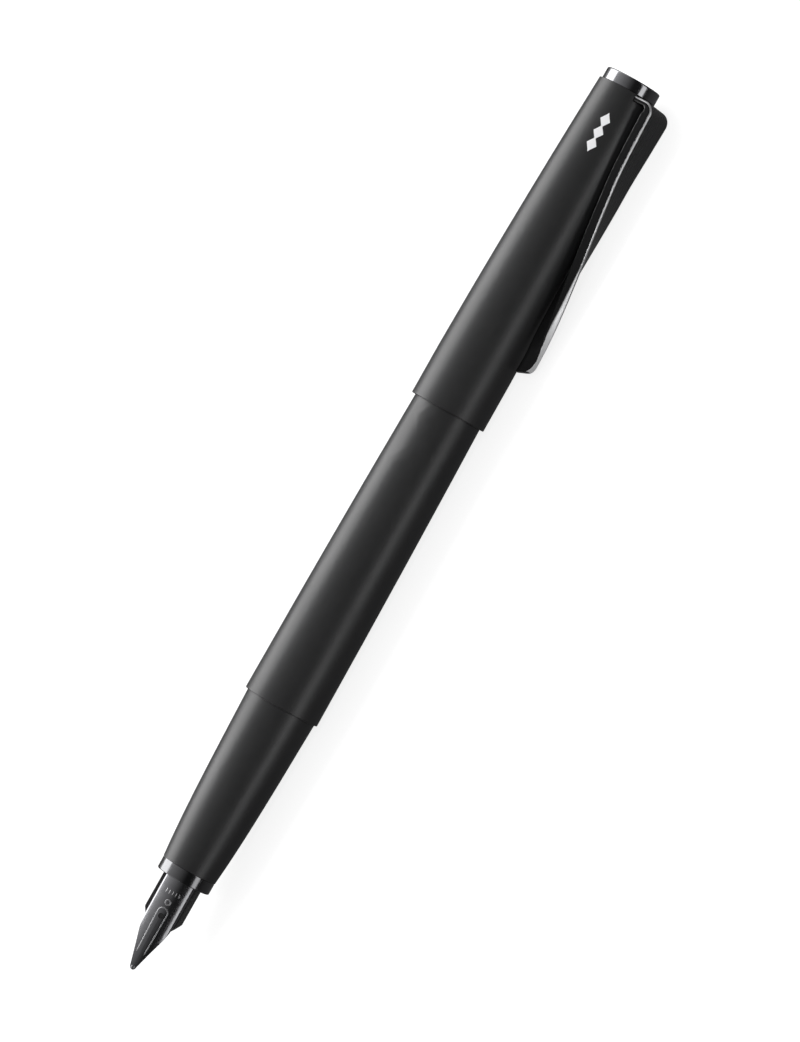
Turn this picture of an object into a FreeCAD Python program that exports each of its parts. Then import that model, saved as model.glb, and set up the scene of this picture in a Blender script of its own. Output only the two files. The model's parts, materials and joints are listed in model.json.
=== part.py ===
"""A fountain pen with its cap posted on the back of the barrel.

Lengths are in millimetres. The pen is drawn along the X axis, measured from the point of the
nib, and is moved at the end so that it lies on the plane Z = 0. Angles about the axis are
counted from -Y, which is 0, through +Z, which is 90 degrees.
"""

import FreeCAD, Part

import math
import os

# Stations along the axis
RING_FRONT = 15.6
RING_BACK = 17.65
GRIP_BACK = 46.4
BARREL_BACK = 126.6
CAP_FRONT = 98.5
CAP_BAND_BACK = 107.0
CAP_BACK = 154.9
PEN_BACK = 157.0

# Outer radii
RING_RADIUS = 4.49
GRIP_FRONT_RADIUS = 4.55
GRIP_BACK_RADIUS = 5.85
BARREL_FRONT_RADIUS = 6.29
BARREL_MIDDLE_RADIUS = 5.91
BARREL_BACK_RADIUS = 5.02
CAP_LIP_RADIUS = 6.30
CAP_MIDDLE_RADIUS = 5.81
CAP_BACK_RADIUS = 4.95
FINIAL_RADIUS = 4.57

# Walls and gaps
GRIP_WALL = 0.5
BARREL_WALL = 0.6
CAP_WALL = 0.45
SEAT_GAP = 0.02
RUNNING_GAP = 0.05
EDGE_ROUNDING = 0.12

# Bores
FEED_BORE = 3.75
FEED_SEAT = 3.30
TENON_RADIUS = 4.90
CONVERTER_BORE = 3.75
HEAD_RADIUS = 4.50
HEAD_FRONT = 151.0

# Nib, drawn facing +Z
NIB_HALF_WIDTH = 2.56
NIB_SHEET = 0.28
NIB_CROWN_RADIUS = 4.2
NIB_SHOULDER_RADIUS = 0.7
NIB_POINT_HEIGHT = 1.95
NIB_HEIGHT = 3.10
NIB_SLOPE_END = 14.0
NIB_BACK = 24.5
NIB_WING_BOTTOM = 1.05
NIB_SLIT = 0.03
BREATHER_RADIUS = 0.42
BREATHER_STATION = 9.5
PELLET_RADIUS = 0.48

# Feed
FEED_RADIUS = 3.25
FEED_SHOULDER = 27.0
FEED_POCKET_BACK = 38.0
FEED_GAP = 0.03
FIN_SLOT = 0.35
FIN_PITCH = 0.85
FIN_COUNT = 6

# Clip, drawn with its outer side towards +Z
CLIP_THICKNESS = 1.65
CLIP_INNER_CORNER = 0.22
CLIP_OUTER_CORNER = 0.5
CLIP_CAP_SIDE_CORNER = 0.95
TAIL_ROUNDING = 0.4
TAIL_SLANT = 0.36
CLIP_PLATE_WIDTH = 7.1
CLIP_TAIL_WIDTH = 2.6
CLIP_TAIL = 109.0
CLIP_TOP_HEIGHT = 6.37
CLIP_TAIL_HEIGHT = 8.2
CLIP_LEAN_START = 143.0
CLIP_BEND_RADIUS = 1.1
CLIP_TAB_TOP = 154.72
TWIST_START = 152.0
TWIST_END = 111.6
TWIST_POWER = 2.5
TAB_THICKNESS = 0.85
TAB_NECK_WIDTH = 4.4
TAB_NECK_HEIGHT = 3.3
TAB_INNER_END = 1.45
CLIP_PIN_HEIGHT = 2.2
CLIP_PIN_RADIUS = 0.5

# Tenon and thread
TENON_SHOULDER = GRIP_BACK + 1.6
THREAD_START = GRIP_BACK + 2.2
TENON_BACK = GRIP_BACK + 9.8
THREAD_DEPTH = 0.28
THREAD_PITCH = 1.0

# Converter
CONVERTER_FRONT = 48.6
CONVERTER_TUBE_BACK = 88.0
CONVERTER_RADIUS = 3.5
CONVERTER_TUBE_BORE = 2.9
NIPPLE_RADIUS = 1.85
NIPPLE_BORE = 0.8
NIPPLE_BACK = 54.5
PISTON_FRONT = 75.6
PISTON_SHOULDER = 78.6
SEAL_BORE = 0.9
ROD_FRONT = 80.0
ROD_BACK = 112.4
ROD_RADIUS = 1.15
ROD_HALF_FLAT = 0.95
COLLAR_FRONT = 82.0
COLLAR_BACK = 94.0
COLLAR_RADIUS = 3.72
KNOB_FRONT = 91.9
KNOB_BACK = 114.9
KNOB_RADIUS = 3.0
KNOB_FLUTES = 12

# Emblem
EMBLEM_STATION = 147.0
EMBLEM_HALF_LENGTH = 3.4
LOZENGE_SPACING = 2.1

# Angles about the axis. The clip's outer edge and the cap's lip touch the same plane.
CLIP_ANGLE = -27.55
NIB_FROM_CLIP = 69.0
EMBLEM_FROM_CLIP = 72.0

X_AXIS = FreeCAD.Vector(1, 0, 0)
Y_AXIS = FreeCAD.Vector(0, 1, 0)
Z_AXIS = FreeCAD.Vector(0, 0, 1)
ORIGIN = FreeCAD.Vector(0, 0, 0)


# ---------------------------------------------------------------- outlines

def rounded_corner(before, corner, after, radius):
    """The start, middle and end of the arc that rounds a corner between two straight sides."""
    back = (before - corner).normalize()
    ahead = (after - corner).normalize()
    half_angle = back.getAngle(ahead) / 2
    reach = radius / math.tan(half_angle)
    bisector = (back + ahead).normalize()
    middle = corner + bisector * (math.hypot(reach, radius) - radius)
    return corner + back * reach, middle, corner + ahead * reach


def outline(*corners):
    """A closed wire in the XY plane. A corner is (x, y), with a third value for its rounding.

    The word "via" as the third value makes the outline run smoothly through that point.
    """
    points = [FreeCAD.Vector(c[0], c[1], 0) for c in corners]
    kinds = [c[2] if len(c) > 2 else 0 for c in corners]
    count = len(points)
    arcs = {}
    for i, kind in enumerate(kinds):
        if kind and kind != "via":
            arcs[i] = rounded_corner(points[i - 1], points[i], points[(i + 1) % count], kind)
    edges = []
    i = 0
    while i < count:
        start = arcs[i][2] if i in arcs else points[i]
        stations = [start]
        j = i + 1
        while kinds[j % count] == "via":
            stations.append(points[j % count])
            j += 1
        end = j % count
        stations.append(arcs[end][0] if end in arcs else points[end])
        if len(stations) == 2:
            edges.append(Part.LineSegment(*stations).toShape())
        else:
            curve = Part.BSplineCurve()
            curve.interpolate(stations)
            edges.append(curve.toShape())
        if end in arcs:
            edges.append(Part.Arc(*arcs[end]).toShape())
        i = j
    return Part.Wire(edges)


def turned(*corners):
    """A solid of revolution about X. Corners are (station, radius)."""
    return Part.Face(outline(*corners)).revolve(ORIGIN, X_AXIS, 360)


def rod(start, end, radius):
    """A plain cylinder along X."""
    return Part.makeCylinder(radius, end - start, FreeCAD.Vector(start, 0, 0), X_AXIS)


def tube(start, end, outer, inner):
    """A plain tube along X."""
    return rod(start, end, outer).cut(rod(start, end, inner))


def block(x_range, y_range, z_range):
    """A box between the given limits."""
    low = FreeCAD.Vector(x_range[0], y_range[0], z_range[0])
    size = (x_range[1] - x_range[0], y_range[1] - y_range[0], z_range[1] - z_range[0])
    return Part.makeBox(*size, low)


def side_prism(half_width, *corners):
    """A prism whose outline is (station, height) corners, across the full width in Y."""
    face = Part.Face(outline(*corners))
    face.rotate(ORIGIN, X_AXIS, 90)
    face.translate(FreeCAD.Vector(0, half_width, 0))
    return face.extrude(FreeCAD.Vector(0, -2 * half_width, 0))


def plan_prism(low, high, *half_outline):
    """A prism seen from +Z, mirrored about the XZ plane. Corners are (station, half width).

    The first and last corners lie on the XZ plane.
    """
    mirrored = [(c[0], -c[1], *c[2:]) for c in reversed(half_outline[1:-1])]
    face = Part.Face(outline(*half_outline, *mirrored))
    face.translate(FreeCAD.Vector(0, 0, low))
    return face.extrude(FreeCAD.Vector(0, 0, high - low))


def facing(shape, angle):
    """Rolls a shape that was drawn facing +Z to the given angle about the pen's axis."""
    shape = shape.copy()
    shape.rotate(ORIGIN, X_AXIS, 90 - angle)
    return shape


def arc_radius(station, front, middle, back):
    """The radius at a station on the arc through three (station, radius) points."""
    curve = Part.Arc(*[FreeCAD.Vector(p[0], p[1], 0) for p in (front, middle, back)])
    across = Part.LineSegment(FreeCAD.Vector(station, 0, 0), FreeCAD.Vector(station, 20, 0))
    return curve.toShape().distToShape(across.toShape())[1][0][0].y


# ---------------------------------------------------------------- outer profiles

GRIP_LINE = ((23.7, 5.02), (31.0, 5.38), (38.5, 5.63))
BARREL_ARC = (
    (GRIP_BACK, BARREL_FRONT_RADIUS),
    (84.6, BARREL_MIDDLE_RADIUS),
    (BARREL_BACK, BARREL_BACK_RADIUS),
)
CAP_ARC = (
    (CAP_BAND_BACK, CAP_LIP_RADIUS),
    (131.0, CAP_MIDDLE_RADIUS),
    (CAP_BACK, CAP_BACK_RADIUS),
)


def barrel_radius(station):
    return arc_radius(station, *BARREL_ARC)


def cap_radius(station):
    return arc_radius(station, *CAP_ARC)


def smooth(line, change):
    """The points of a smooth stretch, moved outwards by the given change."""
    return [(x, r + change, "via") for x, r in line]


# ---------------------------------------------------------------- section

def make_grip_sleeve():
    """The tapered metal sleeve that the fingers hold."""
    inner = [(x, r - GRIP_WALL, "via") for x, r in reversed(GRIP_LINE)]
    return turned(
        (RING_BACK, GRIP_FRONT_RADIUS),
        *smooth(GRIP_LINE, 0),
        (GRIP_BACK, GRIP_BACK_RADIUS),
        (GRIP_BACK, GRIP_BACK_RADIUS - GRIP_WALL),
        *inner,
        (RING_BACK, GRIP_FRONT_RADIUS - GRIP_WALL),
    )


def make_front_ring():
    """The polished ring at the mouth of the section, with the spigot that holds it."""
    spigot_back = RING_BACK + 1.9
    spigot_radius = GRIP_FRONT_RADIUS - GRIP_WALL - SEAT_GAP
    return turned(
        (RING_FRONT, FEED_BORE + 0.15),
        (RING_FRONT, RING_RADIUS, 0.2),
        (RING_BACK, RING_RADIUS, EDGE_ROUNDING),
        (RING_BACK, spigot_radius),
        (spigot_back, spigot_radius),
        (spigot_back, FEED_BORE),
        (RING_FRONT + 0.15, FEED_BORE),
    )


def make_section_core():
    """The moulded core: a seat for the feed in front and the threaded tenon behind."""
    front = RING_BACK + 2.0
    wall = GRIP_WALL + RUNNING_GAP
    crest = TENON_RADIUS
    root = TENON_RADIUS - THREAD_DEPTH
    neck = crest + 0.08
    thread = []
    for turn in range(7):
        x = THREAD_START + 0.3 + turn * THREAD_PITCH
        thread += [(x, root), (x + 0.35, crest), (x + 0.55, crest), (x + 0.9, root)]
    return turned(
        (front, FEED_BORE),
        (front, 4.75 - wall),
        *smooth(GRIP_LINE, -wall),
        (GRIP_BACK - 0.3, GRIP_BACK_RADIUS - wall - 0.03),
        (GRIP_BACK - 0.3, neck),
        (THREAD_START, neck),
        (THREAD_START, root),
        *thread,
        (TENON_BACK, root),
        (TENON_BACK, CONVERTER_BORE),
        (TENON_SHOULDER, CONVERTER_BORE),
        (TENON_SHOULDER, NIPPLE_RADIUS),
        (FEED_POCKET_BACK, NIPPLE_RADIUS),
        (FEED_POCKET_BACK, FEED_SEAT),
        (FEED_SHOULDER, FEED_SEAT),
        (FEED_SHOULDER, FEED_BORE),
    )


def make_ink_nipple():
    """The small tube that the converter plugs on to."""
    return turned(
        (40.0, NIPPLE_BORE),
        (40.0, NIPPLE_RADIUS),
        (NIPPLE_BACK - 0.7, NIPPLE_RADIUS),
        (NIPPLE_BACK, NIPPLE_RADIUS - 0.5),
        (NIPPLE_BACK, NIPPLE_BORE),
    )


# ---------------------------------------------------------------- nib and feed

def nib_section(inset, bottom):
    """The bent outline of the nib at its full height, offset inwards, as a face across X."""
    half = NIB_HALF_WIDTH - inset
    crown = NIB_CROWN_RADIUS - inset
    shoulder = NIB_SHOULDER_RADIUS - inset
    crown_centre = NIB_HEIGHT - NIB_CROWN_RADIUS
    side = half - shoulder
    rise = crown_centre + math.sqrt((crown - shoulder) ** 2 - side**2)
    lean = math.atan2(side, rise - crown_centre)

    def point(y, z):
        return FreeCAD.Vector(NIB_SLOPE_END, y, z)

    def on_shoulder(sign, angle):
        return point(sign * (side + shoulder * math.sin(angle)), rise + shoulder * math.cos(angle))

    flank = math.pi / 2
    left = [on_shoulder(-1, a) for a in (flank, (flank + lean) / 2, lean)]
    right = [on_shoulder(1, a) for a in (lean, (flank + lean) / 2, flank)]
    edges = [
        Part.LineSegment(point(-half, bottom), left[0]).toShape(),
        Part.Arc(*left).toShape(),
        Part.Arc(left[2], point(0, crown_centre + crown), right[0]).toShape(),
        Part.Arc(*right).toShape(),
        Part.LineSegment(right[2], point(half, bottom)).toShape(),
        Part.LineSegment(point(half, bottom), point(-half, bottom)).toShape(),
    ]
    return Part.Face(Part.Wire(edges))


def nib_body(inset, bottom, back):
    """The space under the nib's surface: level at the back and falling towards the point."""
    face = nib_section(inset, bottom)
    drop = NIB_HEIGHT - NIB_POINT_HEIGHT
    sloped = face.extrude(FreeCAD.Vector(-NIB_SLOPE_END - 1, 0, -drop * (1 + 1 / NIB_SLOPE_END)))
    level = face.extrude(FreeCAD.Vector(back - NIB_SLOPE_END, 0, 0))
    return sloped.fuse(level)


def nib_top(station):
    """The height of the nib's crown above the pen's axis."""
    share = min(station / NIB_SLOPE_END, 1)
    return NIB_POINT_HEIGHT + share * (NIB_HEIGHT - NIB_POINT_HEIGHT)


def make_pellet():
    """The writing tip before the slit divides it."""
    centre = FreeCAD.Vector(PELLET_RADIUS, 0, nib_top(PELLET_RADIUS) - PELLET_RADIUS * 0.75)
    return Part.makeSphere(PELLET_RADIUS, centre)


def nib_slit():
    return block((-1, BREATHER_STATION), (-NIB_SLIT / 2, NIB_SLIT / 2), (0, 5))


def make_nib():
    """The bent steel nib, cut to its outline, with its breather hole and slit."""
    shell = nib_body(0, NIB_WING_BOTTOM - 3, NIB_BACK).cut(nib_body(NIB_SHEET, -9, NIB_BACK + 1))
    plan = plan_prism(
        -4,
        6,
        (0.3, 0.0),
        (0.32, 0.44),
        (1.2, 0.68, "via"),
        (3.1, 1.2, "via"),
        (4.9, 1.72, "via"),
        (6.3, 2.13, "via"),
        (8.0, 2.42, "via"),
        (10.4, NIB_HALF_WIDTH + 0.05),
        (NIB_BACK, NIB_HALF_WIDTH + 0.05, 0.6),
        (NIB_BACK, 0.0),
    )
    side = side_prism(
        5,
        (-1, 0.4),
        (5.6, 1.85),
        (12.0, NIB_WING_BOTTOM, 2.0),
        (NIB_BACK + 1, NIB_WING_BOTTOM),
        (NIB_BACK + 1, 6),
        (-1, 6),
    )
    hole = Part.makeCylinder(BREATHER_RADIUS, 6, FreeCAD.Vector(BREATHER_STATION, 0, 0), Z_AXIS)
    return shell.common(plan).common(side).cut(hole).cut(nib_slit()).cut(make_pellet())


def make_nib_tipping():
    """The hard pellet at the point, in two halves beside the slit."""
    return make_pellet().cut(nib_slit())


def make_feed():
    """The moulded ink feed: a tongue under the nib, wings beside it and fins below."""
    head = nib_body(NIB_SHEET + FEED_GAP, -4, NIB_BACK + 0.5)
    tongue_back = FEED_SHOULDER - 1.0
    head = head.cut(block((tongue_back, 40), (-5, 5), (-9, 9)))
    wings = rod(7.0, FEED_SHOULDER, FEED_RADIUS).cut(
        block((0, NIB_BACK + 0.5), (-5, 5), (NIB_WING_BOTTOM - RUNNING_GAP, 9))
    )
    front = wings.fuse(head.common(rod(-1, tongue_back, FEED_RADIUS)))
    plan = plan_prism(
        -4,
        4,
        (3.3, 0.0),
        (3.4, 0.45),
        (7.3, 1.75),
        (9.9, 3.4),
        (28.0, 3.4),
        (28.0, 0.0),
    )
    side = side_prism(5, (3.0, 1.5), (9.6, -3.5, 2.0), (28.0, -3.5), (28.0, 4), (3.0, 4))
    feed = front.common(plan).common(side).fuse(rod(FEED_SHOULDER, FEED_POCKET_BACK - 0.1, FEED_SEAT))
    for fin in range(FIN_COUNT):
        x = 10.9 + fin * FIN_PITCH
        slot = tube(x, x + FIN_SLOT, FEED_RADIUS + 1, FEED_RADIUS - 1.1)
        feed = feed.cut(slot.common(block((x - 1, x + 1), (-5, 5), (-5, -0.9))))
    channel = block((2, 30), (-0.15, 0.15), (NIB_HEIGHT - NIB_SHEET - 0.45, 5))
    return feed.cut(channel).removeSplitter()


# ---------------------------------------------------------------- barrel

def make_barrel_shell():
    """The tapered metal tube."""
    front, middle, back = BARREL_ARC
    return turned(
        (GRIP_BACK + 0.03, BARREL_FRONT_RADIUS, EDGE_ROUNDING),
        (GRIP_BACK + 0.6, BARREL_FRONT_RADIUS - 0.003),
        (middle[0], middle[1], "via"),
        (back[0], back[1]),
        (back[0], back[1] - BARREL_WALL),
        (middle[0], middle[1] - BARREL_WALL, "via"),
        (front[0] + 0.5, front[1] - BARREL_WALL),
        (front[0] + 0.5, front[1] - 1.0),
        (front[0] + 0.03, front[1] - 1.0),
    )


def make_barrel_thread_insert():
    """The brass sleeve with the barrel's internal thread."""
    start = TENON_SHOULDER
    end = TENON_BACK + 0.2
    outer = 5.62
    crest = TENON_RADIUS + RUNNING_GAP
    thread = []
    for turn in range(7):
        x = end - 0.9 - turn * THREAD_PITCH
        thread += [(x, crest + 0.25), (x - 0.3, crest), (x - 0.5, crest), (x - 0.8, crest + 0.25)]
    return turned(
        (start, outer),
        (end, outer),
        (end, crest + 0.25),
        *thread,
        (start, crest + 0.25),
    )


def make_barrel_seal_ring():
    """The rubber ring in the barrel's mouth."""
    return Part.makeTorus(5.33, 0.3, FreeCAD.Vector(GRIP_BACK + 1.0, 0, 0), X_AXIS)


def make_barrel_end_plug():
    """The plug that closes the back of the barrel."""
    spigot = BARREL_BACK_RADIUS - BARREL_WALL
    return turned(
        (BARREL_BACK - 4.0, 0),
        (BARREL_BACK - 4.0, spigot - 0.8, 0.2),
        (BARREL_BACK - 3.0, spigot),
        (BARREL_BACK, spigot),
        (BARREL_BACK, BARREL_BACK_RADIUS),
        (BARREL_BACK + 0.8, BARREL_BACK_RADIUS - 0.02, 0.6),
        (BARREL_BACK + 1.0, 0),
    )


# ---------------------------------------------------------------- cap

def make_cap_shell():
    """The cap's drawn metal shell, notched at the back for the clip's tab."""
    front, middle, back = CAP_ARC
    shell = turned(
        (CAP_FRONT, CAP_LIP_RADIUS, EDGE_ROUNDING),
        (CAP_BAND_BACK, CAP_LIP_RADIUS),
        (middle[0], middle[1], "via"),
        (back[0], back[1]),
        (back[0], HEAD_RADIUS),
        (HEAD_FRONT, HEAD_RADIUS),
        (HEAD_FRONT, cap_radius(HEAD_FRONT) - CAP_WALL),
        (middle[0], middle[1] - CAP_WALL, "via"),
        (CAP_BAND_BACK, CAP_LIP_RADIUS - CAP_WALL),
        (CAP_FRONT, CAP_LIP_RADIUS - CAP_WALL),
    )
    half = CLIP_PLATE_WIDTH / 2 + 0.1
    notch = block((CLIP_TAB_TOP - TAB_THICKNESS - 0.12, 160), (-half, half), (1, 9))
    return shell.cut(facing(notch, CLIP_ANGLE))


def make_cap_head():
    """The plug at the top of the cap, slotted for the clip's tab and bored for its pin."""
    half = CLIP_PLATE_WIDTH / 2 + 0.1
    neck = TAB_NECK_WIDTH / 2 + 0.1
    floor = CLIP_TAB_TOP - CLIP_THICKNESS - 0.42
    head = rod(HEAD_FRONT, CAP_BACK, HEAD_RADIUS)
    wide = block((CLIP_TAB_TOP - TAB_THICKNESS - 0.12, 160), (-half, half), (TAB_NECK_HEIGHT - 0.15, 9))
    narrow = block((floor, 160), (-neck, neck), (TAB_INNER_END - 0.15, 9))
    hole = pin_cylinder(CLIP_PIN_RADIUS)
    bore = rod(HEAD_FRONT - 1, 160, 1.2)
    return head.cut(facing(wide.fuse(narrow).fuse(hole), CLIP_ANGLE)).cut(bore)


def make_cap_inner_liner():
    """The plastic cup inside the cap that keeps the nib from drying."""
    front, middle, back = 129.0, 139.0, 149.7
    outer = [(x, cap_radius(x) - CAP_WALL - SEAT_GAP) for x in (front, middle, back)]
    wall = 0.5
    return turned(
        outer[0],
        (*outer[1], "via"),
        outer[2],
        (back, 0),
        (back - wall, 0),
        (back - wall, outer[2][1] - wall),
        (middle, outer[1][1] - wall, "via"),
        (front, outer[0][1] - wall),
    )


def make_cap_clutch_ring():
    """The split spring ring inside the cap's mouth that grips the barrel."""
    start = CAP_FRONT + 2.4
    ring = tube(start, start + 2.2, CAP_LIP_RADIUS - CAP_WALL - SEAT_GAP, barrel_radius(start) + 0.04)
    return ring.cut(block((start - 1, start + 3), (-0.5, 0.5), (0, 9)))


def make_cap_finial():
    """The polished disc on top of the cap, with its threaded stud."""
    return turned(
        (CAP_BACK - 1.8, 0.8),
        (CAP_BACK - 1.8, 1.2),
        (CAP_BACK, 1.2),
        (CAP_BACK, FINIAL_RADIUS, EDGE_ROUNDING),
        (PEN_BACK - 0.15, FINIAL_RADIUS, 0.25),
        (PEN_BACK - 0.02, FINIAL_RADIUS - 1.6),
        (PEN_BACK, 0),
        (CAP_BACK - 0.2, 0),
        (CAP_BACK - 0.2, 0.8),
    )


def make_finial_screw():
    """The screw that draws the finial on to the cap head from inside."""
    head_front = HEAD_FRONT - 0.9
    slot = block((head_front - 1, head_front + 0.35), (-0.2, 0.2), (-3, 3))
    head = rod(head_front, HEAD_FRONT, 2.2)
    return head.fuse(rod(HEAD_FRONT, CAP_BACK - 0.3, 0.8)).cut(slot).removeSplitter()


def make_cap_emblem():
    """A thin inlaid bar with three lozenges on it, bent to the cap's surface."""
    middle = EMBLEM_STATION
    start = middle - EMBLEM_HALF_LENGTH
    end = middle + EMBLEM_HALF_LENGTH
    shape = plan_prism(0, 9, (start, 0.0), (start + 0.3, 0.16), (end - 0.3, 0.16), (end, 0.0))
    for place in (-1, 0, 1):
        x = middle + place * LOZENGE_SPACING
        shape = shape.fuse(plan_prism(0, 9, (x - 1.2, 0.0), (x, 0.85), (x + 1.2, 0.0)))
    stations = (middle - 4, middle, middle + 4)
    proud = 0.04
    skin = turned(
        (stations[0], cap_radius(stations[0]) + proud),
        (stations[1], cap_radius(stations[1]) + proud, "via"),
        (stations[2], cap_radius(stations[2]) + proud),
        (stations[2], cap_radius(stations[2])),
        (stations[1], cap_radius(stations[1]), "via"),
        (stations[0], cap_radius(stations[0])),
    )
    return skin.common(facing(shape, CLIP_ANGLE + EMBLEM_FROM_CLIP))


# ---------------------------------------------------------------- clip

def pin_cylinder(radius):
    """A cylinder on the clip's hinge axis, drawn with the clip's outer side towards +Z."""
    x = CLIP_TAB_TOP - CLIP_THICKNESS / 2
    half = 3.5
    return Part.makeCylinder(radius, 2 * half, FreeCAD.Vector(x, -half, CLIP_PIN_HEIGHT), Y_AXIS)


def clip_section(width, thickness, cap_side_corner, twist=0):
    """The clip's rounded section across X, centred on the X axis and turned by the twist.

    The corner that the twist turns towards the cap has its own rounding.
    """
    half_w = width / 2
    half_t = thickness / 2
    inner = CLIP_INNER_CORNER
    outer = CLIP_OUTER_CORNER
    wire = outline((-half_w, -half_t, cap_side_corner), (half_w, -half_t, inner),
                   (half_w, half_t, outer), (-half_w, half_t, outer))
    wire.rotate(ORIGIN, Z_AXIS, twist)
    wire.rotate(ORIGIN, Y_AXIS, 90)
    wire.rotate(ORIGIN, X_AXIS, 90)
    return wire


def make_clip_strip(top):
    """The twisted strip, from the bend at the top to the tail."""
    stations = [top, 150.5, 147.5]
    steps = 11
    stations += [145 - i * (145 - TWIST_END) / steps for i in range(steps + 1)]
    stations += [CLIP_TAIL + 1.5, CLIP_TAIL - 0.5]
    wires = []
    for x in stations:
        share = min((top - x) / (top - TWIST_END), 1)
        width = CLIP_PLATE_WIDTH + (CLIP_TAIL_WIDTH - CLIP_PLATE_WIDTH) * share
        lean = min(max(CLIP_LEAN_START - x, 0) / (CLIP_LEAN_START - TWIST_END), 1)
        height = CLIP_TOP_HEIGHT + (CLIP_TAIL_HEIGHT - CLIP_TOP_HEIGHT) * lean
        turn = min(max((TWIST_START - x) / (TWIST_START - TWIST_END), 0), 1)
        wire = clip_section(width, CLIP_THICKNESS, CLIP_CAP_SIDE_CORNER, 90 * turn**TWIST_POWER)
        wire.translate(FreeCAD.Vector(x, 0, height))
        wires.append(wire)
    strip = Part.makeLoft(wires, True, False)
    end = side_prism(
        6,
        (CLIP_TAIL, 0),
        (CLIP_TAIL, 7.0),
        (CLIP_TAIL + 2.3 * TAIL_SLANT, 9.3, 1.8),
        (115.0, 9.8),
        (115.0, 12),
        (160.0, 12),
        (160.0, 0),
    )
    return strip.common(end).common(tail_nose())


def tail_nose():
    """A slanted prism, rounded in front, that takes the sharp edges off the clip's tail."""
    half = CLIP_THICKNESS / 2 + 0.03
    low, high = 5.0, 11.0
    front = CLIP_TAIL - (7.0 - low) * TAIL_SLANT
    half_outline = [(front, 0.0), (front, half, TAIL_ROUNDING), (front + 2, half), (front + 4, 5.0),
                    (165.0, 5.0), (165.0, 0.0)]
    mirrored = [(c[0], -c[1], *c[2:]) for c in reversed(half_outline[1:-1])]
    face = Part.Face(outline(*half_outline, *mirrored))
    face.translate(FreeCAD.Vector(0, 0, low))
    return face.extrude(FreeCAD.Vector((high - low) * TAIL_SLANT, 0, high - low))


def make_clip_bend(top):
    """The bend at the clip's top, which thins from the strip to the tab."""
    outer = CLIP_BEND_RADIUS + CLIP_THICKNESS / 2
    pivot = FreeCAD.Vector(top, 0, CLIP_TOP_HEIGHT - CLIP_BEND_RADIUS)
    steps = 6
    wires = []
    for step in range(steps + 1):
        share = step / steps
        thickness = CLIP_THICKNESS + (TAB_THICKNESS - CLIP_THICKNESS) * share
        corner = CLIP_CAP_SIDE_CORNER + (CLIP_INNER_CORNER - CLIP_CAP_SIDE_CORNER) * share
        wire = clip_section(CLIP_PLATE_WIDTH, thickness, corner)
        wire.translate(pivot + FreeCAD.Vector(0, 0, outer - thickness / 2))
        wire.rotate(pivot, Y_AXIS, 90 * share)
        wires.append(wire)
    bend = Part.makeLoft(wires, True, False)
    tab = Part.Face(wires[-1]).extrude(FreeCAD.Vector(0, 0, TAB_NECK_HEIGHT - pivot.z))
    return bend.fuse(tab)


def make_clip():
    """The clip: a strip twisted by a quarter turn, bent over at the top into its hinge tab."""
    top = CLIP_TAB_TOP - CLIP_THICKNESS / 2 - CLIP_BEND_RADIUS
    neck_half = TAB_NECK_WIDTH / 2
    neck = block((CLIP_TAB_TOP - CLIP_THICKNESS, CLIP_TAB_TOP), (-neck_half, neck_half),
                 (TAB_INNER_END, TAB_NECK_HEIGHT))
    clip = make_clip_strip(top).fuse(make_clip_bend(top)).fuse(neck)
    clip = clip.cut(pin_cylinder(CLIP_PIN_RADIUS + RUNNING_GAP))
    return facing(clip.removeSplitter(), CLIP_ANGLE)


def make_clip_pin():
    return facing(pin_cylinder(CLIP_PIN_RADIUS), CLIP_ANGLE)


def make_clip_spring():
    """The bowed leaf under the clip's tab."""
    floor = CLIP_TAB_TOP - CLIP_THICKNESS - 0.42
    low, high = TAB_INNER_END, TAB_NECK_HEIGHT - 0.05
    middle = (low + high) / 2
    thickness = 0.12
    rise = 0.18
    under = [FreeCAD.Vector(x, 0, z) for x, z in
             ((floor, low), (floor + rise, middle), (floor, high))]
    over = [p + FreeCAD.Vector(thickness, 0, 0) for p in reversed(under)]
    edges = [
        Part.Arc(*under).toShape(),
        Part.LineSegment(under[2], over[0]).toShape(),
        Part.Arc(*over).toShape(),
        Part.LineSegment(over[2], under[0]).toShape(),
    ]
    face = Part.Face(Part.Wire(edges))
    face.translate(FreeCAD.Vector(0, -1.9, 0))
    return facing(face.extrude(FreeCAD.Vector(0, 3.8, 0)), CLIP_ANGLE)


# ---------------------------------------------------------------- converter

def make_converter_tube():
    """The clear ink reservoir, with a socket in front that fits over the nipple."""
    socket_end = NIPPLE_BACK + 0.4
    return turned(
        (CONVERTER_FRONT, NIPPLE_RADIUS + SEAT_GAP),
        (CONVERTER_FRONT, CONVERTER_RADIUS - 0.15),
        (CONVERTER_FRONT + 0.6, CONVERTER_RADIUS),
        (CONVERTER_TUBE_BACK, CONVERTER_RADIUS),
        (CONVERTER_TUBE_BACK, CONVERTER_TUBE_BORE),
        (socket_end + 0.5, CONVERTER_TUBE_BORE),
        (socket_end + 0.5, 1.2),
        (socket_end, 1.2),
        (socket_end, NIPPLE_RADIUS + SEAT_GAP),
    )


def flatted(start, end, radius, half_flat):
    """A round bar with two flats."""
    return rod(start, end, radius).common(block((start, end), (-half_flat, half_flat), (-9, 9)))


def make_converter_guide():
    """The bush in the tube's end that keeps the rod from turning."""
    front = CONVERTER_TUBE_BACK - 3.0
    back = KNOB_FRONT - 0.1
    plug = rod(front, CONVERTER_TUBE_BACK, CONVERTER_TUBE_BORE)
    flange = rod(CONVERTER_TUBE_BACK, back, CONVERTER_RADIUS)
    hole = flatted(front - 1, back + 1, ROD_RADIUS + RUNNING_GAP, ROD_HALF_FLAT + 0.03)
    return plug.fuse(flange).removeSplitter().cut(hole)


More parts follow.
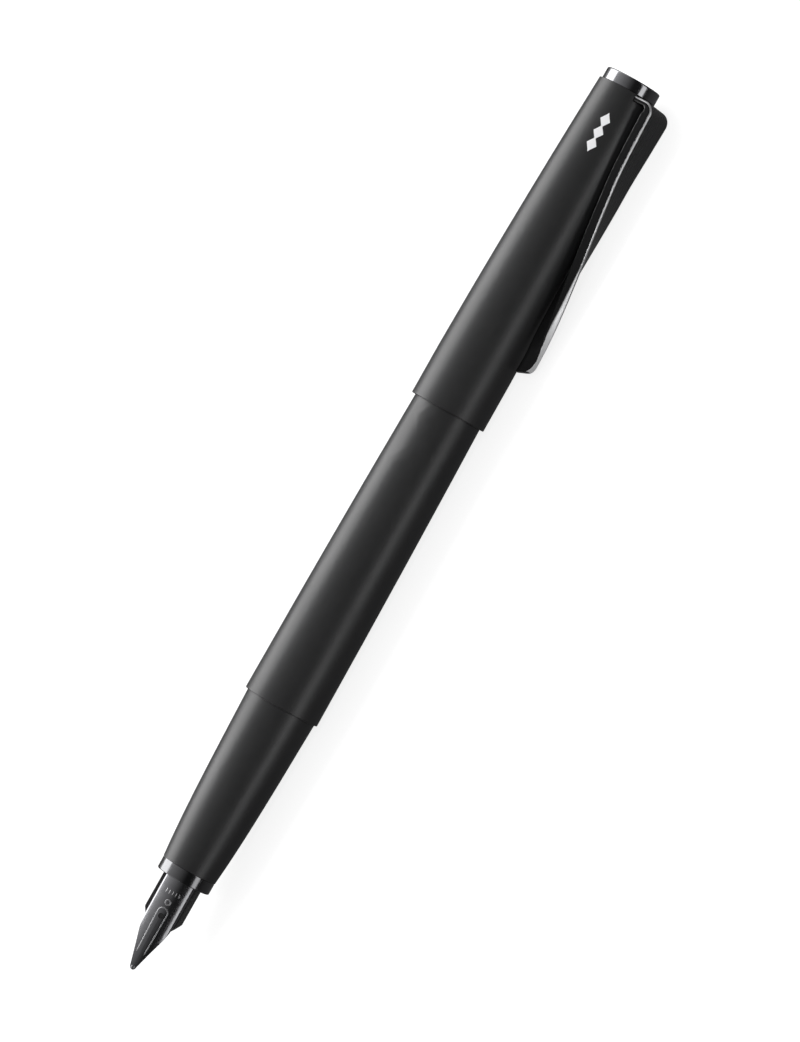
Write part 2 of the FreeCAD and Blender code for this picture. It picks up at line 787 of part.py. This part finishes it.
def make_converter_collar():
    """The metal collar over the joint between the tube and the knob."""
    return turned(
        (COLLAR_FRONT, CONVERTER_RADIUS),
        (COLLAR_FRONT, COLLAR_RADIUS, 0.1),
        (COLLAR_BACK, COLLAR_RADIUS, 0.1),
        (COLLAR_BACK, CONVERTER_RADIUS),
    )


def make_converter_knob():
    """The fluted knob, bored for the threaded rod."""
    bore = ROD_RADIUS + RUNNING_GAP
    neck = 2.6
    shoulder = COLLAR_BACK + 0.1
    floor = KNOB_BACK - 1.2
    knob = turned(
        (KNOB_FRONT, bore),
        (KNOB_FRONT, neck),
        (shoulder, neck),
        (shoulder, KNOB_RADIUS, 0.15),
        (KNOB_BACK, KNOB_RADIUS, 0.5),
        (KNOB_BACK, 0),
        (floor, 0),
        (floor, bore),
    )
    reach = KNOB_RADIUS + 0.1
    for flute in range(KNOB_FLUTES):
        angle = 2 * math.pi * flute / KNOB_FLUTES
        centre = FreeCAD.Vector(shoulder + 1.9, reach * math.cos(angle), reach * math.sin(angle))
        knob = knob.cut(Part.makeCylinder(0.4, 17.5, centre, X_AXIS))
    return knob


def make_piston_rod():
    """The flatted screw that the knob drives, with the seat for the seal."""
    seat = rod(PISTON_FRONT + 0.2, PISTON_SHOULDER, SEAL_BORE)
    flange = rod(PISTON_SHOULDER, ROD_FRONT, 2.4)
    screw = flatted(ROD_FRONT, ROD_BACK, ROD_RADIUS, ROD_HALF_FLAT)
    return seat.fuse(flange).fuse(screw).removeSplitter()


def make_piston_seal():
    """The rubber seal with a lip at each end."""
    start = PISTON_FRONT
    lip = CONVERTER_TUBE_BORE - SEAT_GAP
    waist = lip - 0.4
    return turned(
        (start, 0),
        (start, lip - 0.25, 0.1),
        (start + 0.5, lip),
        (start + 0.9, lip),
        (start + 1.3, waist),
        (start + 2.1, waist),
        (start + 2.5, lip),
        (PISTON_SHOULDER, lip),
        (PISTON_SHOULDER, SEAL_BORE),
        (start + 0.2, SEAL_BORE),
        (start + 0.2, 0),
    )


# ---------------------------------------------------------------- assembly

NIB_ANGLE = CLIP_ANGLE + NIB_FROM_CLIP


def make_parts():
    """Every piece in its place about the X axis."""
    return {
        "grip_sleeve": make_grip_sleeve(),
        "front_ring": make_front_ring(),
        "section_core": make_section_core(),
        "ink_nipple": make_ink_nipple(),
        "feed": facing(make_feed(), NIB_ANGLE),
        "nib": facing(make_nib(), NIB_ANGLE),
        "nib_tipping": facing(make_nib_tipping(), NIB_ANGLE),
        "barrel_shell": make_barrel_shell(),
        "barrel_thread_insert": make_barrel_thread_insert(),
        "barrel_seal_ring": make_barrel_seal_ring(),
        "barrel_end_plug": make_barrel_end_plug(),
        "cap_shell": make_cap_shell(),
        "cap_head": make_cap_head(),
        "cap_inner_liner": make_cap_inner_liner(),
        "cap_clutch_ring": make_cap_clutch_ring(),
        "cap_finial": make_cap_finial(),
        "finial_screw": make_finial_screw(),
        "cap_emblem": make_cap_emblem(),
        "clip": make_clip(),
        "clip_pin": make_clip_pin(),
        "clip_spring": make_clip_spring(),
        "converter_tube": make_converter_tube(),
        "converter_guide": make_converter_guide(),
        "converter_collar": make_converter_collar(),
        "converter_knob": make_converter_knob(),
        "piston_rod": make_piston_rod(),
        "piston_seal": make_piston_seal(),
    }


def resting_shift(parts):
    """The move that puts the middle of the bottom of the assembly's box at the origin."""
    box = Part.makeCompound(list(parts.values())).optimalBoundingBox(False, False)
    return FreeCAD.Vector(-(box.XMin + box.XMax) / 2, -(box.YMin + box.YMax) / 2, -box.ZMin)


def main():
    os.makedirs("parts", exist_ok=True)
    parts = make_parts()
    shift = resting_shift(parts)
    for name, shape in parts.items():
        shape.translate(shift)
        print(name, len(shape.Solids), round(shape.Volume, 2), shape.isValid())
        shape.exportStep(f"parts/{name}.step")


if __name__ == "__main__":
    main()
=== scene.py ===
import json
import math

import bmesh
import bpy
from mathutils import Matrix, Vector
from mathutils.bvhtree import BVHTree


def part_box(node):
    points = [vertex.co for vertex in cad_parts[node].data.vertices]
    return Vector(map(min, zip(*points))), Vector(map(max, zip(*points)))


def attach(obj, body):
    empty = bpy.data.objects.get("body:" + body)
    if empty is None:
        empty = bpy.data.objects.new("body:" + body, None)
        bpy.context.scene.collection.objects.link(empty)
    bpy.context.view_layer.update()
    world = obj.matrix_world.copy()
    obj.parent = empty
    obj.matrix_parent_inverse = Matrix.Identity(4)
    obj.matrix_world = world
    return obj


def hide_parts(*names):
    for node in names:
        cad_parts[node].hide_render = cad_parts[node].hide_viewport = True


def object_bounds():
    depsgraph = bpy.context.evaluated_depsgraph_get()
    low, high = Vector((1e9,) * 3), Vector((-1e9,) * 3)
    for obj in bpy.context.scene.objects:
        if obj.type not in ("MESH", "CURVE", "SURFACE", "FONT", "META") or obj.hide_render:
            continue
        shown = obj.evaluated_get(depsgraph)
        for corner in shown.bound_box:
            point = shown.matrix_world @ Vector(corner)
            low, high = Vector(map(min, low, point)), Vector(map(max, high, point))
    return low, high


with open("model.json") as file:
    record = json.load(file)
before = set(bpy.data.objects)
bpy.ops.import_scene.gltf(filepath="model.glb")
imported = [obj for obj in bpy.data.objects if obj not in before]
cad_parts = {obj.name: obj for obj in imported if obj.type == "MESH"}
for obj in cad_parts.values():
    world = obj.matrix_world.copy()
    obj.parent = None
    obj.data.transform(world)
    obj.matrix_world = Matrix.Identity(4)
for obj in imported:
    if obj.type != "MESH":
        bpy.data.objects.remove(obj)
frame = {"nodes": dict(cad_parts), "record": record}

CAD_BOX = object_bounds()
MM = 0.001

# Where the pen lies: its axis runs along +X, and stations are counted in mm from the nib's point
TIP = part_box("nib_tipping")[0].x
SHELL_LOW, SHELL_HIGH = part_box("barrel_shell")
AXIS_Y = (SHELL_LOW.y + SHELL_HIGH.y) / 2
AXIS_Z = (SHELL_LOW.z + SHELL_HIGH.z) / 2

# Angles about the pen's axis, counted from -Y towards +Z, in degrees
CLIP_ANGLE = -27.55
NIB_ANGLE = CLIP_ANGLE + 69
CAMERA_ANGLE = CLIP_ANGLE + 62

# Station that the lights face
LIGHT_STATION = 85

# The clip's middle line: where its bend starts, and where its quarter turn starts and ends
BEND_STATION = 152.795
BEND_HEIGHT = 5.27
TWIST_START = 152.0
TWIST_END = 111.6
TWIST_POWER = 2.5


def outward(angle):
    """The direction away from the pen's axis at an angle about it."""
    turn = math.radians(angle)
    return Vector((0, -math.cos(turn), math.sin(turn)))


def around(station, angle, radius):
    """A point at a station along the pen and a distance from its axis, both in mm."""
    return Vector((TIP + station * MM, AXIS_Y, AXIS_Z)) + outward(angle) * radius * MM


# ---------------------------------------------------------------- materials

class Nodes:
    """A material being built: each method adds nodes and returns the socket that they end in."""

    def __init__(self, name):
        self.material = bpy.data.materials.new(name)
        self.material.use_nodes = True
        self.tree = self.material.node_tree
        self.shader = self.tree.nodes["Principled BSDF"]
        self.place = self.add("ShaderNodeTexCoord").outputs["Object"]

    def add(self, kind, **values):
        """A new node, with each value set on its input or property of that name."""
        node = self.tree.nodes.new(kind)
        for key, value in values.items():
            if key in node.inputs:
                node.inputs[key].default_value = value
            else:
                setattr(node, key, value)
        return node

    def join(self, source, target):
        self.tree.links.new(source, target)

    def stretched(self, scale):
        """The object's own coordinates, scaled along each axis."""
        node = self.add("ShaderNodeMapping", Scale=scale)
        self.join(self.place, node.inputs["Vector"])
        return node.outputs["Vector"]

    def noise(self, size_mm, detail=3.0, along=1.0):
        """Noise with spots of a size in mm, drawn out along the pen by a factor."""
        scale = 1 / (size_mm * MM)
        node = self.add("ShaderNodeTexNoise", Scale=1.0, Detail=detail)
        self.join(self.stretched((scale / along, scale, scale)), node.inputs["Vector"])
        return node.outputs["Fac"]

    def along_pen(self):
        """The place along the pen's axis."""
        split = self.add("ShaderNodeSeparateXYZ")
        self.join(self.place, split.inputs[0])
        return split.outputs["X"]

    def between(self, factor, low, high, start=0.3, end=0.7):
        """A value that goes from low to high as the factor goes from start to end."""
        node = self.add("ShaderNodeMapRange")
        node.inputs["From Min"].default_value = start
        node.inputs["From Max"].default_value = end
        node.inputs["To Min"].default_value = low
        node.inputs["To Max"].default_value = high
        self.join(factor, node.inputs["Value"])
        return node.outputs["Result"]

    def blend_colours(self, factor, first, second):
        """A colour that goes from the first to the second as the factor goes from 0 to 1."""
        node = self.add("ShaderNodeMix", data_type="RGBA")
        colours = [i for i in node.inputs if i.type == "RGBA"]
        colours[0].default_value = (*first, 1)
        colours[1].default_value = (*second, 1)
        self.join(factor, node.inputs["Factor"])
        return [o for o in node.outputs if o.type == "RGBA"][0]

    def bump(self, height, depth_mm, strength):
        """A normal that is roughened by a height."""
        node = self.add("ShaderNodeBump", Strength=strength, Distance=depth_mm * MM)
        self.join(height, node.inputs["Height"])
        return node.outputs["Normal"]

    def plug(self, **sockets):
        """Joins sockets, or sets values, on the shader's inputs."""
        names = {"colour": "Base Color", "metallic": "Metallic", "roughness": "Roughness",
                 "normal": "Normal", "specular": "Specular IOR Level", "ior": "IOR",
                 "clear": "Transmission Weight"}
        for key, value in sockets.items():
            target = self.shader.inputs[names[key]]
            if isinstance(value, bpy.types.NodeSocket):
                self.join(value, target)
            elif key == "colour":
                target.default_value = (*value, 1)
            else:
                target.default_value = value
        return self.material


def make_lacquer():
    """Satin black lacquer: a fine even grain, a little uneven in its shine."""
    n = Nodes("satin_black_lacquer")
    tone = n.blend_colours(n.noise(1.6), (0.010, 0.010, 0.0103), (0.014, 0.014, 0.0145))
    rough = n.between(n.noise(3.0, along=4), 0.37, 0.43)
    grain = n.bump(n.noise(0.09, detail=2), 0.003, 0.5)
    return n.plug(colour=tone, roughness=rough, normal=grain, specular=0.6)


def make_turned_metal(name, dark, light, roughness):
    """Polished metal with the fine rings that turning leaves round the pen's axis."""
    n = Nodes(name)
    rings = n.noise(0.5, detail=4, along=0.12)
    tone = n.blend_colours(n.noise(1.2), dark, light)
    rough = n.between(rings, roughness * 0.7, roughness * 1.3)
    return n.plug(colour=tone, metallic=1.0, roughness=rough, normal=n.bump(rings, 0.0008, 0.4))


def make_nib_steel():
    """Black coated steel, brushed along the nib."""
    n = Nodes("black_nib_steel")
    brushing = n.noise(0.06, detail=3, along=30)
    tone = n.blend_colours(n.noise(0.9), (0.25, 0.25, 0.26), (0.31, 0.31, 0.32))
    rough = n.between(brushing, 0.15, 0.24)
    return n.plug(colour=tone, metallic=1.0, roughness=rough, normal=n.bump(brushing, 0.001, 0.5))


def make_clip_face():
    """Black coated spring steel, semi-gloss: the clip's outer side."""
    n = Nodes("black_clip_coating")
    tone = n.blend_colours(n.noise(0.8), (0.017, 0.017, 0.0174), (0.022, 0.022, 0.0225))
    rough = n.between(n.noise(0.3, along=10), 0.24, 0.32)
    grain = n.bump(n.noise(0.08), 0.001, 0.4)
    return n.plug(colour=tone, roughness=rough, specular=0.45, normal=grain)


def make_clip_inner_shaded():
    """The clip's inner side: coated too, in a darker copy of the coating as painted shade, semi-gloss
    at the top and dull towards the tail.
    """
    dull_station = 128
    shiny_station = 142
    n = Nodes("clip_inner_side_painted_shade")
    shine = n.between(n.along_pen(), 0.05, 0.9, around(dull_station, 0, 0).x,
                      around(shiny_station, 0, 0).x)
    # Painted shade: darker than the outer coating, on the side that faces the cap.
    tone = n.blend_colours(n.noise(0.8), (0.006, 0.006, 0.0062), (0.01, 0.01, 0.0103))
    return n.plug(colour=tone, roughness=0.32, specular=shine)


def make_clip_edge_highlight():
    """The clip's leading edge, in a bright steel colour that is a painted highlight."""
    n = Nodes("painted_highlight_edge_of_clip")
    # Painted highlight: a bright steel colour on the one outer edge that catches the light.
    tone = n.blend_colours(n.noise(0.5), (0.68, 0.68, 0.69), (0.76, 0.76, 0.77))
    rough = n.between(n.noise(0.2, along=12), 0.3, 0.4)
    return n.plug(colour=tone, metallic=0.8, roughness=rough)


def make_clip_wall_painted_light():
    """The clip's narrow side: painted shade in a darker copy of the coating, and a painted highlight
    in bright steel colour at the tail and where it stands highest.

    The height of the painted highlight's edge is given at one station, and it falls towards the top.
    """
    station = 117
    dark_height = 8.95
    bright_height = 9.15
    fall = 0.033
    tail_station = 112
    fade_station = 114
    n = Nodes("clip_side_painted_light_at_tail")
    slant = outward(CLIP_ANGLE) + Vector((fall, 0, 0))
    height = n.add("ShaderNodeVectorMath", operation="DOT_PRODUCT")
    height.inputs[1].default_value = slant
    n.join(n.place, height.inputs[0])
    dark_level = around(station, CLIP_ANGLE, dark_height).dot(slant)
    bright_level = around(station, CLIP_ANGLE, bright_height).dot(slant)
    high = n.between(height.outputs["Value"], 0.0, 1.0, dark_level, bright_level)
    highlight_at_tail = n.between(n.along_pen(), 1.0, 0.0, around(tail_station, 0, 0).x,
                     around(fade_station, 0, 0).x)
    highlight_mask = n.add("ShaderNodeMath", operation="MAXIMUM")
    n.join(high, highlight_mask.inputs[0])
    n.join(highlight_at_tail, highlight_mask.inputs[1])
    painted_highlight = highlight_mask.outputs[0]
    # Painted light: the dark colour is painted shade, the bright steel colour is a painted highlight.
    tone = n.blend_colours(painted_highlight, (0.008, 0.008, 0.0083), (0.8, 0.8, 0.81))
    return n.plug(colour=tone, metallic=n.between(painted_highlight, 0.0, 0.35, 0, 1), roughness=0.36,
                  specular=0.08)


def make_plastic(name, dark, light, roughness, grain_mm=0.12, depth_mm=0.004):
    """Moulded plastic or rubber with a fine grain."""
    n = Nodes(name)
    tone = n.blend_colours(n.noise(1.1), dark, light)
    rough = n.between(n.noise(0.7), roughness - 0.05, roughness + 0.07)
    return n.plug(colour=tone, roughness=rough, normal=n.bump(n.noise(grain_mm), depth_mm, 0.4))


def make_clear_plastic():
    """Clear moulded plastic, faintly wavy along the pen."""
    n = Nodes("clear_moulded_plastic")
    rough = n.between(n.noise(1.5), 0.04, 0.12)
    return n.plug(colour=(0.9, 0.93, 0.95), roughness=rough, clear=0.94, ior=1.49,
                  normal=n.bump(n.noise(2.5, along=3), 0.01, 0.15))


def make_silver():
    """Bright satin inlay, brushed along the pen."""
    n = Nodes("satin_silver")
    brushing = n.noise(0.05, along=12)
    rough = n.between(brushing, 0.45, 0.6)
    tone = n.blend_colours(n.noise(0.4), (0.86, 0.86, 0.87), (0.92, 0.92, 0.93))
    return n.plug(colour=tone, metallic=0.25, roughness=rough, normal=n.bump(brushing, 0.001, 0.3))


def make_materials():
    """A material for each of the record's slots, and five more for the ring, the nib and the clip."""
    turned = make_turned_metal
    return {
        "black_lacquer": make_lacquer(),
        "dark_chrome": turned("dark_chrome_turned", (0.26, 0.26, 0.27), (0.31, 0.31, 0.32), 0.14),
        # Painted shade: a darker copy of the dark chrome that dims the front ring's reflections.
        "ring_chrome_painted_shade": turned("ring_turned_chrome_painted_shade", (0.17, 0.17, 0.175), (0.2, 0.2, 0.205), 0.16),
        "bright_chrome": turned("bright_chrome_turned", (0.6, 0.6, 0.62), (0.68, 0.68, 0.7), 0.12),
        "black_steel": make_nib_steel(),
        "nib_relief": turned("nib_relief_steel", (0.5, 0.5, 0.51), (0.58, 0.58, 0.59), 0.42),
        "iridium": turned("ground_iridium", (0.24, 0.24, 0.25), (0.3, 0.3, 0.31), 0.38),
        "clip_steel": make_clip_face(),
        "clip_edge_painted_highlight": make_clip_edge_highlight(),
        "clip_wall_painted_light": make_clip_wall_painted_light(),
        "clip_inner_painted_shade": make_clip_inner_shaded(),
        "spring_steel": turned("spring_steel_drawn", (0.42, 0.42, 0.43), (0.5, 0.5, 0.5), 0.26),
        "brass": turned("turned_brass", (0.6, 0.42, 0.16), (0.7, 0.5, 0.22), 0.24),
        "silver_inlay": make_silver(),
        "black_plastic": make_plastic("black_moulded_plastic", (0.014,) * 3, (0.02,) * 3, 0.42),
        "feed_plastic": make_plastic("feed_moulded_plastic", (0.014,) * 3, (0.022,) * 3, 0.24),
        "clear_plastic": make_clear_plastic(),
        "red_plastic": make_plastic("red_moulded_plastic", (0.42, 0.012, 0.014),
                                    (0.5, 0.018, 0.018), 0.24, 0.3, 0.002),
        "white_plastic": make_plastic("white_moulded_plastic", (0.7, 0.7, 0.67),
                                      (0.78, 0.78, 0.76), 0.38),
        "rubber": make_plastic("black_rubber", (0.012,) * 3, (0.022,) * 3, 0.7, 0.2, 0.01),
    }


def finish_cad_nodes(materials):
    """Gives every CAD node the material of its record slot, and the front ring a darker copy of the
    chrome as painted shade.
    """
    for entry in frame["record"]["subparts"]:
        node = frame["nodes"][entry["node"]]
        node.material_slots[0].material = materials[entry["material_slot"]]
    frame["nodes"]["front_ring"].material_slots[0].material = materials["ring_chrome_painted_shade"]


# ---------------------------------------------------------------- clip

def clip_axes(point):
    """The clip's own axes at a point on it: out of its narrow side, and out of its outer side."""
    top = around(BEND_STATION, CLIP_ANGLE, BEND_HEIGHT)
    out = outward(CLIP_ANGLE)
    left = outward(CLIP_ANGLE + 90)
    beyond = point - top
    if beyond.x > 0:
        height = max(beyond.dot(out), 0.0)
        return left, Vector((beyond.x, 0, 0)) + out * height
    station = (point.x - TIP) / MM
    share = min(max((TWIST_START - station) / (TWIST_START - TWIST_END), 0), 1)
    turn = math.radians(90 * share**TWIST_POWER)
    side = left * math.cos(turn) + out * math.sin(turn)
    return side, out * math.cos(turn) - left * math.sin(turn)


def add_clip():
    """The clip's CAD shape with a material for each of its sides: painted highlights on the leading
    edge and narrow side, painted shade on the inner side.
    """
    piece = bpy.data.objects.new("clip_finished", frame["nodes"]["clip"].data.copy())
    bpy.context.scene.collection.objects.link(piece)
    piece.data.materials.clear()
    side_materials = ["clip_steel", "clip_edge_painted_highlight", "clip_wall_painted_light", "clip_inner_painted_shade"]
    for side_material in side_materials:
        piece.data.materials.append(MATERIALS[side_material])
    for face in piece.data.polygons:
        side, outer = clip_axes(face.center)
        sideways = face.normal.dot(side.normalized())
        outwards = face.normal.dot(outer.normalized())
        # Sorting by side picks where painted highlights and painted shade go.
        side_material = "clip_steel"
        if outwards < -0.2:
            side_material = "clip_inner_painted_shade"
        elif sideways > 0.2 and outwards > 0.45:
            side_material = "clip_edge_painted_highlight"
        elif abs(sideways) > 0.7:
            side_material = "clip_wall_painted_light"
        face.material_index = side_materials.index(side_material)
    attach(piece, "clip")
    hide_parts("clip")


# ---------------------------------------------------------------- nib relief

def nib_surface():
    """A function from (station, offset across the nib) in mm to a place on its top and the normal."""
    mesh = bmesh.new()
    mesh.from_mesh(frame["nodes"]["nib"].data)
    tree = BVHTree.FromBMesh(mesh)
    mesh.free()
    up = outward(NIB_ANGLE)
    aside = up.cross(Vector((1, 0, 0)))
    above = 9

    def find(station, offset):
        start = around(station, NIB_ANGLE, above) + aside * offset * MM
        place, normal, _face, _reach = tree.ray_cast(start, -up)
        return place, normal

    return find


def straight(start, end, steps):
    """Evenly spaced plan points from start to end, without the end."""
    return [tuple(a + (b - a) * i / steps for a, b in zip(start, end)) for i in range(steps)]


def arc(centre, radius, start, end, steps):
    """Plan points on an arc, with angles in degrees from the nib's back."""
    points = []
    for i in range(steps + 1):
        turn = math.radians(start + (end - start) * i / steps)
        points.append((centre[0] + radius * math.cos(turn), centre[1] + radius * math.sin(turn)))
    return points


def add_relief(name, find, plan, width, closed=False):
    """A low rounded ridge that follows plan points over the nib's top. Sizes are in mm."""
    height = 0.035
    buried = 0.02
    profile = ((-0.5, -buried), (-0.46, height * 0.55), (-0.3, height), (0.3, height),
               (0.46, height * 0.55), (0.5, -buried))
    mesh = bmesh.new()
    count = len(plan)
    rings = []
    for i in range(count):
        before = Vector(plan[i - 1] if closed or i > 0 else plan[0])
        after = Vector(plan[(i + 1) % count] if closed or i < count - 1 else plan[-1])
        place, normal = find(*plan[i])
        way = find(*after)[0] - find(*before)[0]
        aside = way.cross(normal).normalized()
        rings.append([mesh.verts.new(place + aside * side * width * MM + normal * rise * MM)
                      for side, rise in profile])
    sides = len(profile)
    for i in range(count if closed else count - 1):
        for k in range(sides):
            here, there = rings[i], rings[(i + 1) % count]
            mesh.faces.new((here[k], there[k], there[(k + 1) % sides], here[(k + 1) % sides]))
    if not closed:
        mesh.faces.new(rings[0])
        mesh.faces.new(reversed(rings[-1]))
    bmesh.ops.recalc_face_normals(mesh, faces=mesh.faces)
    data = bpy.data.meshes.new(name)
    mesh.to_mesh(data)
    mesh.free()
    for face in data.polygons:
        face.use_smooth = True
    piece = bpy.data.objects.new(name, data)
    bpy.context.scene.collection.objects.link(piece)
    piece.data.materials.append(MATERIALS["nib_relief"])
    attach(piece, "nib")


def add_nib_relief():
    """The raised line round the slit and the breather hole, and a small generic mark behind it."""
    find = nib_surface()
    line_width = 0.2
    line_front = 2.9
    line_back = 10.0
    half_front = 0.66
    half_back = 0.82
    ring_station = 11.8
    ring_radius = 0.42
    bars = 5
    bar_pitch = 0.55
    bar_width = 0.16
    bar_front = 13.1
    bar_back = 14.0
    legs = straight((line_front, -half_front), (line_back, -half_back), 14)
    back = arc((line_back, 0), half_back, -90, 90, 12)
    returning = straight((line_back, half_back), (line_front, half_front), 14)[1:]
    border = [*legs, *back, *returning, (line_front, half_front)]
    add_relief("nib_border_line", find, border, line_width)
    ring = arc((ring_station, 0), ring_radius, 0, 345, 23)
    add_relief("nib_ring_mark", find, ring, line_width, closed=True)
    for bar in range(bars):
        offset = (bar - (bars - 1) / 2) * bar_pitch
        plan = straight((bar_front, offset), (bar_back, offset), 4)
        add_relief(f"nib_bar_mark_{bar + 1}", find, plan, bar_width)


# ---------------------------------------------------------------- stage

def add_floor():
    """A pale floor that only the camera sees, with the pen's shadow on it."""
    size = 3.0
    bpy.ops.mesh.primitive_plane_add(size=size, location=(0, 0, CAD_BOX[0].z))
    floor = bpy.context.object
    floor.name = "floor"
    n = Nodes("pale_floor")
    n.plug(colour=(0.25, 0.25, 0.25), roughness=0.9, specular=0.1)
    n.shader.inputs["Emission Color"].default_value = (1, 1, 1, 1)
    n.shader.inputs["Emission Strength"].default_value = 0.82
    floor.data.materials.append(n.material)
    floor.visible_glossy = False
    floor.visible_diffuse = False
    floor.visible_transmission = False
    floor.visible_shadow = False


def add_softbox(name, angle, distance, length, width, brightness):
    """A rectangular light that faces the pen, at an angle about its axis. Distances in metres."""
    data = bpy.data.lights.new(name, "AREA")
    data.shape = "RECTANGLE"
    data.size = length
    data.size_y = width
    data.energy = brightness * math.pi * length * width
    light = bpy.data.objects.new(name, data)
    light.visible_camera = False
    back = outward(angle)
    along = Vector((1, 0, 0))
    light.matrix_world = Matrix.Translation(around(LIGHT_STATION, angle, distance / MM)) @ Matrix(
        (along, back.cross(along), back)).transposed().to_4x4()
    bpy.context.scene.collection.objects.link(light)
    return light


def add_lights():
    """A large softbox above and behind, a strip in front, and a fill that leaves no reflection."""
    add_softbox("large_softbox", 134, 0.6, 1.0, 0.5, 3.3)
    add_softbox("strip_softbox", -15, 0.6, 1.0, 0.2, 1.8)
    fill = add_softbox("front_fill", CAMERA_ANGLE, 0.9, 0.8, 0.8, 2.8)
    fill.visible_glossy = False


def add_world():
    """Studio surroundings: bright above and behind the pen, dark in front, and white to the camera.

    The first number of each pair is an angle about the pen's axis, counted like the clip's.
    """
    brightness = (
        (-180, 0.10), (-90, 0.10), (-60, 0.08), (-35, 0.03), (0, 0.02), (28, 0.025), (42, 0.11),
        (54, 0.21), (68, 0.32), (96, 0.58), (121, 1.0), (150, 1.0), (170, 0.3), (180, 0.10),
    )
    world = bpy.data.worlds.new("studio")
    world.use_nodes = True
    nodes = world.node_tree.nodes
    join = world.node_tree.links.new
    surroundings = nodes["Background"]
    place = nodes.new("ShaderNodeTexCoord")
    split = nodes.new("ShaderNodeSeparateXYZ")
    towards_front = nodes.new("ShaderNodeMath")
    towards_front.operation = "MULTIPLY"
    towards_front.inputs[1].default_value = -1
    angle = nodes.new("ShaderNodeMath")
    angle.operation = "ARCTAN2"
    share = nodes.new("ShaderNodeMapRange")
    share.inputs["From Min"].default_value = -math.pi
    share.inputs["From Max"].default_value = math.pi
    ramp = nodes.new("ShaderNodeValToRGB")
    elements = ramp.color_ramp.elements
    for degrees, _value in brightness[1:-1]:
        elements.new(degrees / 360 + 0.5)
    for element, (degrees, value) in zip(elements, brightness):
        element.position = degrees / 360 + 0.5
        element.color = (value, value, value * 1.01, 1)
    join(place.outputs["Generated"], split.inputs[0])
    join(split.outputs["Y"], towards_front.inputs[0])
    join(split.outputs["Z"], angle.inputs[0])
    join(towards_front.outputs[0], angle.inputs[1])
    join(angle.outputs[0], share.inputs["Value"])
    join(share.outputs["Result"], ramp.inputs["Fac"])
    join(ramp.outputs["Color"], surroundings.inputs["Color"])
    backdrop = nodes.new("ShaderNodeBackground")
    backdrop.inputs["Color"].default_value = (0.97, 0.97, 0.97, 1)
    seen = nodes.new("ShaderNodeLightPath")
    mix = nodes.new("ShaderNodeMixShader")
    join(seen.outputs["Is Camera Ray"], mix.inputs["Fac"])
    join(surroundings.outputs[0], mix.inputs[1])
    join(backdrop.outputs[0], mix.inputs[2])
    join(mix.outputs[0], nodes["World Output"].inputs["Surface"])
    bpy.context.scene.world = world


def add_camera():
    """The camera looks square on to the pen near the cap's mouth, rolled so the pen stands up."""
    square_station = 92.0
    centre_station = 80.3
    centre_aside = 1.88
    distance = 0.85
    view_height = 0.1603
    roll = math.radians(60.57)
    sensor = 36.0
    back = outward(CAMERA_ANGLE)
    aside = back.cross(Vector((1, 0, 0)))
    target = around(centre_station, 0, 0) - aside * centre_aside * MM
    place = around(square_station, 0, 0) - aside * centre_aside * MM + back * distance
    back = (place - target).normalized()
    aside = back.cross(Vector((1, 0, 0))).normalized()
    along = aside.cross(back)
    right = along * math.cos(roll) - aside * math.sin(roll)
    up = along * math.sin(roll) + aside * math.cos(roll)
    data = bpy.data.cameras.new("camera")
    data.sensor_width = sensor
    data.lens = sensor * distance / view_height
    data.clip_start = 0.05
    camera = bpy.data.objects.new("camera", data)
    camera.matrix_world = (Matrix.Translation(place)
                           @ Matrix((right, up, back)).transposed().to_4x4())
    bpy.context.scene.collection.objects.link(camera)
    bpy.context.scene.camera = camera


MATERIALS = make_materials()
finish_cad_nodes(MATERIALS)
add_clip()
add_nib_relief()
add_floor()
add_lights()
add_world()
add_camera()
bpy.context.scene.view_settings.view_transform = "Standard"
